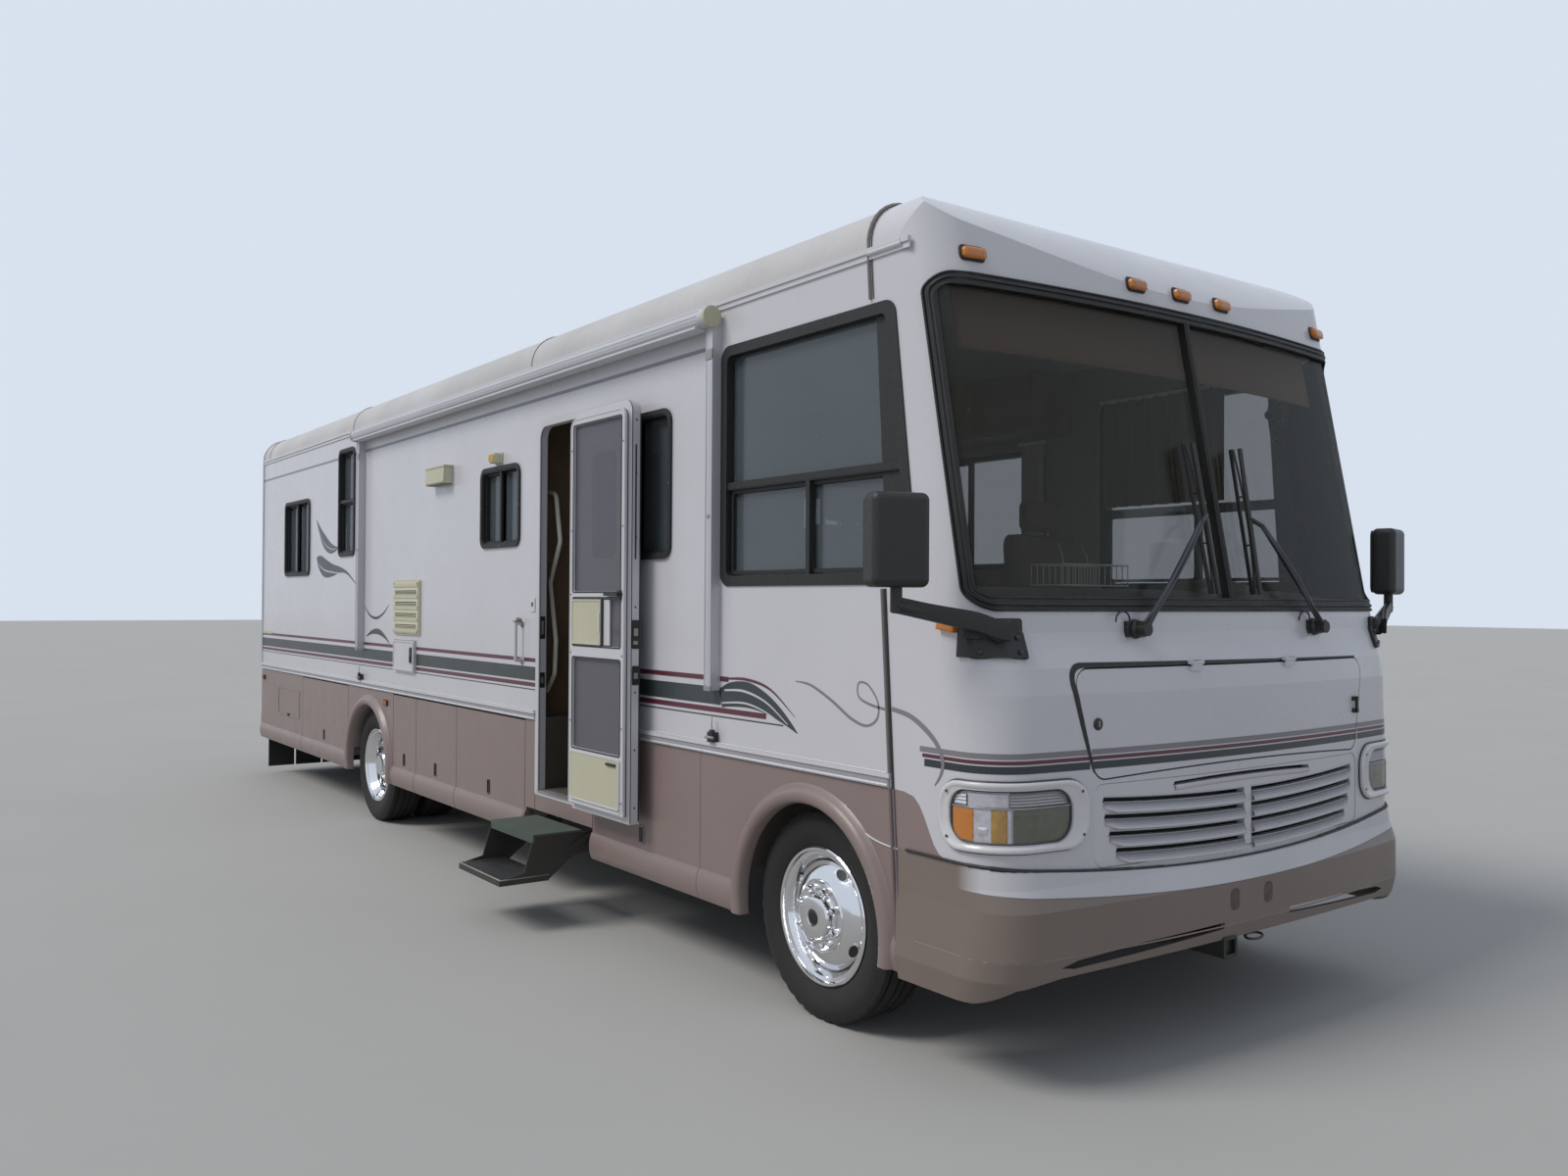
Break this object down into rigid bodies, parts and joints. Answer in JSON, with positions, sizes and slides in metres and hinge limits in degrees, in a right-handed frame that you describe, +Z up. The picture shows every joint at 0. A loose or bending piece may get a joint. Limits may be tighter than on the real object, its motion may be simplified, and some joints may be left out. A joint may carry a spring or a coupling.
{
  "type": "motorhome",
  "caption": "Long flat-fronted motorhome with a sloping wrap-round screen, open entry door and step, luggage doors and twin rear wheels.",
  "frame": {"origin": "on the ground, in the middle of the width and 11 mm behind the middle of the overall length", "axes": "-Y towards the nose, +X towards the vehicle's left side, +Z up"},
  "size_m": [3.3871, 9.842, 3.545],
  "materials": {
    "body_white": "white gelcoat, satin",
    "skirt_tan": "rose tan paint, satin",
    "roof_white": "weathered white roof sheet",
    "chassis_black": "black frame paint, dusty",
    "engine_iron": "plain block",
    "tank_plastic": "black moulded tank",
    "exhaust_steel": "heat stained steel",
    "floor_wood": "carpeted plywood floor",
    "galvanised": "galvanised sheet",
    "grille_white": "white moulding",
    "lamp_clear": "clear and amber lens",
    "lamp_amber": "amber lens",
    "rubber_black": "black rubber and black frames",
    "window_glass": "tinted glass",
    "aluminium_trim": "bright aluminium trim",
    "black_plastic": "black moulding",
    "vent_cream": "yellowed cream plastic",
    "dash_brown": "brown moulding",
    "seat_fabric": "tan woven fabric",
    "cabinet_wood": "oak veneer",
    "door_white": "white laminate skin in an aluminium frame",
    "screen_frame": "white aluminium frame with dark mesh",
    "step_green": "grey green tread covering",
    "step_grey": "dark linkage",
    "wheel_chrome": "bright wheel cover",
    "tyre_black": "worn tyre rubber"
  },
  "bodies": {
    "root": {"chassis_frame": "chassis_black", "floor_bearers": "chassis_black", "engine_block": "engine_iron", "front_axle": "chassis_black", "leaf_springs": "chassis_black", "rear_axle": "chassis_black", "tanks": "tank_plastic", "exhaust": "exhaust_steel", "floor": "floor_wood", "basement_boxes": "galvanised", "wall_left": "body_white", "wall_right": "body_white", "roof": "roof_white", "rear_wall": "body_white", "front_cap": "body_white", "skirt_left": "skirt_tan", "skirt_right": "skirt_tan", "bumper": "skirt_tan", "grille": "grille_white", "head_lamps": "lamp_clear", "signal_lamps": "lamp_amber", "window_frames": "rubber_black", "window_glass": "window_glass", "belt_trim": "aluminium_trim", "mirrors": "black_plastic", "wipers": "black_plastic", "awning": "aluminium_trim", "roof_units": "roof_white", "ladder": "aluminium_trim", "rear_bumper": "skirt_tan", "mud_strips": "rubber_black", "door_frame": "aluminium_trim", "side_vents": "vent_cream", "dashboard": "dash_brown", "seats": "seat_fabric", "cabinets": "cabinet_wood", "step_frame": "step_grey"},
    "steering_wheel": {"steering_wheel": "black_plastic"},
    "entry_door": {"entry_door": "door_white", "screen_door": "screen_frame"},
    "hood_panel": {"hood_panel": "body_white"},
    "step_arms_front": {"step_arms_front": "step_grey"},
    "step_arms_rear": {"step_arms_rear": "step_grey"},
    "step_treads": {"step_treads": "step_green"},
    "luggage_door_right_1": {"luggage_door_right_1": "skirt_tan"},
    "luggage_door_right_2": {"luggage_door_right_2": "skirt_tan"},
    "luggage_door_right_3": {"luggage_door_right_3": "skirt_tan"},
    "luggage_door_right_4": {"luggage_door_right_4": "skirt_tan"},
    "luggage_door_left_1": {"luggage_door_left_1": "skirt_tan"},
    "luggage_door_left_2": {"luggage_door_left_2": "skirt_tan"},
    "steer_left": {"knuckle_left": "chassis_black"},
    "front_wheel_left": {"front_rim_left": "wheel_chrome", "front_tyre_left": "tyre_black"},
    "rear_wheel_left": {"rear_rim_left": "wheel_chrome", "rear_tyre_left": "tyre_black"},
    "steer_right": {"knuckle_right": "chassis_black"},
    "front_wheel_right": {"front_rim_right": "wheel_chrome", "front_tyre_right": "tyre_black"},
    "rear_wheel_right": {"rear_rim_right": "wheel_chrome", "rear_tyre_right": "tyre_black"}
  },
  "joints": [
    {"name": "steer_left_turn", "type": "hinge", "parent": "root", "child": "steer_left", "pos_m": [0.93, -3.79, 0.412], "axis": [0, 0, 1], "range_deg": [-35, 35]},
    {"name": "steer_right_turn", "type": "hinge", "parent": "root", "child": "steer_right", "pos_m": [-0.93, -3.79, 0.412], "axis": [0, 0, 1], "range_deg": [-35, 35]},
    {"name": "steering_wheel_turn", "type": "hinge", "parent": "root", "child": "steering_wheel", "pos_m": [0.56, -4.075, 1.551], "axis": [0, 0.8536, 0.521], "range_deg": [-525, 525]},
    {"name": "front_left_spin", "type": "hinge", "parent": "steer_left", "child": "front_wheel_left", "pos_m": [1.1, -3.79, 0.412], "axis": [1, 0, 0], "continuous": true},
    {"name": "front_right_spin", "type": "hinge", "parent": "steer_right", "child": "front_wheel_right", "pos_m": [-1.1, -3.79, 0.412], "axis": [1, 0, 0], "continuous": true},
    {"name": "rear_left_spin", "type": "hinge", "parent": "root", "child": "rear_wheel_left", "pos_m": [0.96, 1.61, 0.412], "axis": [1, 0, 0], "continuous": true},
    {"name": "rear_right_spin", "type": "hinge", "parent": "root", "child": "rear_wheel_right", "pos_m": [-0.96, 1.61, 0.412], "axis": [1, 0, 0], "continuous": true},
    {"name": "entry_door_swing", "type": "hinge", "parent": "root", "child": "entry_door", "pos_m": [-1.305, -1.945, 1.6], "axis": [0, 0, -1], "range_deg": [0, 180]},
    {"name": "hood_panel_lift", "type": "hinge", "parent": "root", "child": "hood_panel", "pos_m": [0, -4.87, 1.436], "axis": [-1, 0, 0], "range_deg": [0, 75]},
    {"name": "luggage_door_right_1_lift", "type": "hinge", "parent": "root", "child": "luggage_door_right_1", "pos_m": [-1.256, -0.6355, 0.955], "axis": [0, 1, 0], "range_deg": [0, 90]},
    {"name": "luggage_door_right_2_lift", "type": "hinge", "parent": "root", "child": "luggage_door_right_2", "pos_m": [-1.256, 0.2455, 0.955], "axis": [0, 1, 0], "range_deg": [0, 90]},
    {"name": "luggage_door_right_3_lift", "type": "hinge", "parent": "root", "child": "luggage_door_right_3", "pos_m": [-1.256, 0.845, 0.955], "axis": [0, 1, 0], "range_deg": [0, 90]},
    {"name": "luggage_door_right_4_lift", "type": "hinge", "parent": "root", "child": "luggage_door_right_4", "pos_m": [-1.256, 2.7675, 0.955], "axis": [0, 1, 0], "range_deg": [0, 90]},
    {"name": "luggage_door_left_1_lift", "type": "hinge", "parent": "root", "child": "luggage_door_left_1", "pos_m": [1.256, -0.6355, 0.955], "axis": [0, -1, 0], "range_deg": [0, 90]},
    {"name": "luggage_door_left_2_lift", "type": "hinge", "parent": "root", "child": "luggage_door_left_2", "pos_m": [1.256, 2.7675, 0.955], "axis": [0, -1, 0], "range_deg": [0, 90]},
    {"name": "step_fold", "type": "hinge", "parent": "root", "child": "step_arms_front", "pos_m": [-1.08, -1.637, 0.52], "axis": [0, -1, 0], "range_deg": [0, 140]},
    {"name": "step_arms_rear_fold", "type": "hinge", "parent": "root", "child": "step_arms_rear", "pos_m": [-0.96, -1.637, 0.52], "axis": [0, -1, 0], "range_deg": [0, 140]},
    {"name": "step_treads_level", "type": "hinge", "parent": "step_arms_front", "child": "step_treads", "pos_m": [-1.35189, -1.637, 0.39321], "axis": [0, -1, 0], "range_deg": [-140, 0]}
  ],
  "couplings": [
    {"joint": "steer_right_turn", "follows": "steer_left_turn", "ratio": 1},
    {"joint": "steering_wheel_turn", "follows": "steer_left_turn", "ratio": 15},
    {"joint": "step_arms_rear_fold", "follows": "step_fold", "ratio": 1},
    {"joint": "step_treads_level", "follows": "step_fold", "ratio": -1}
  ]
}
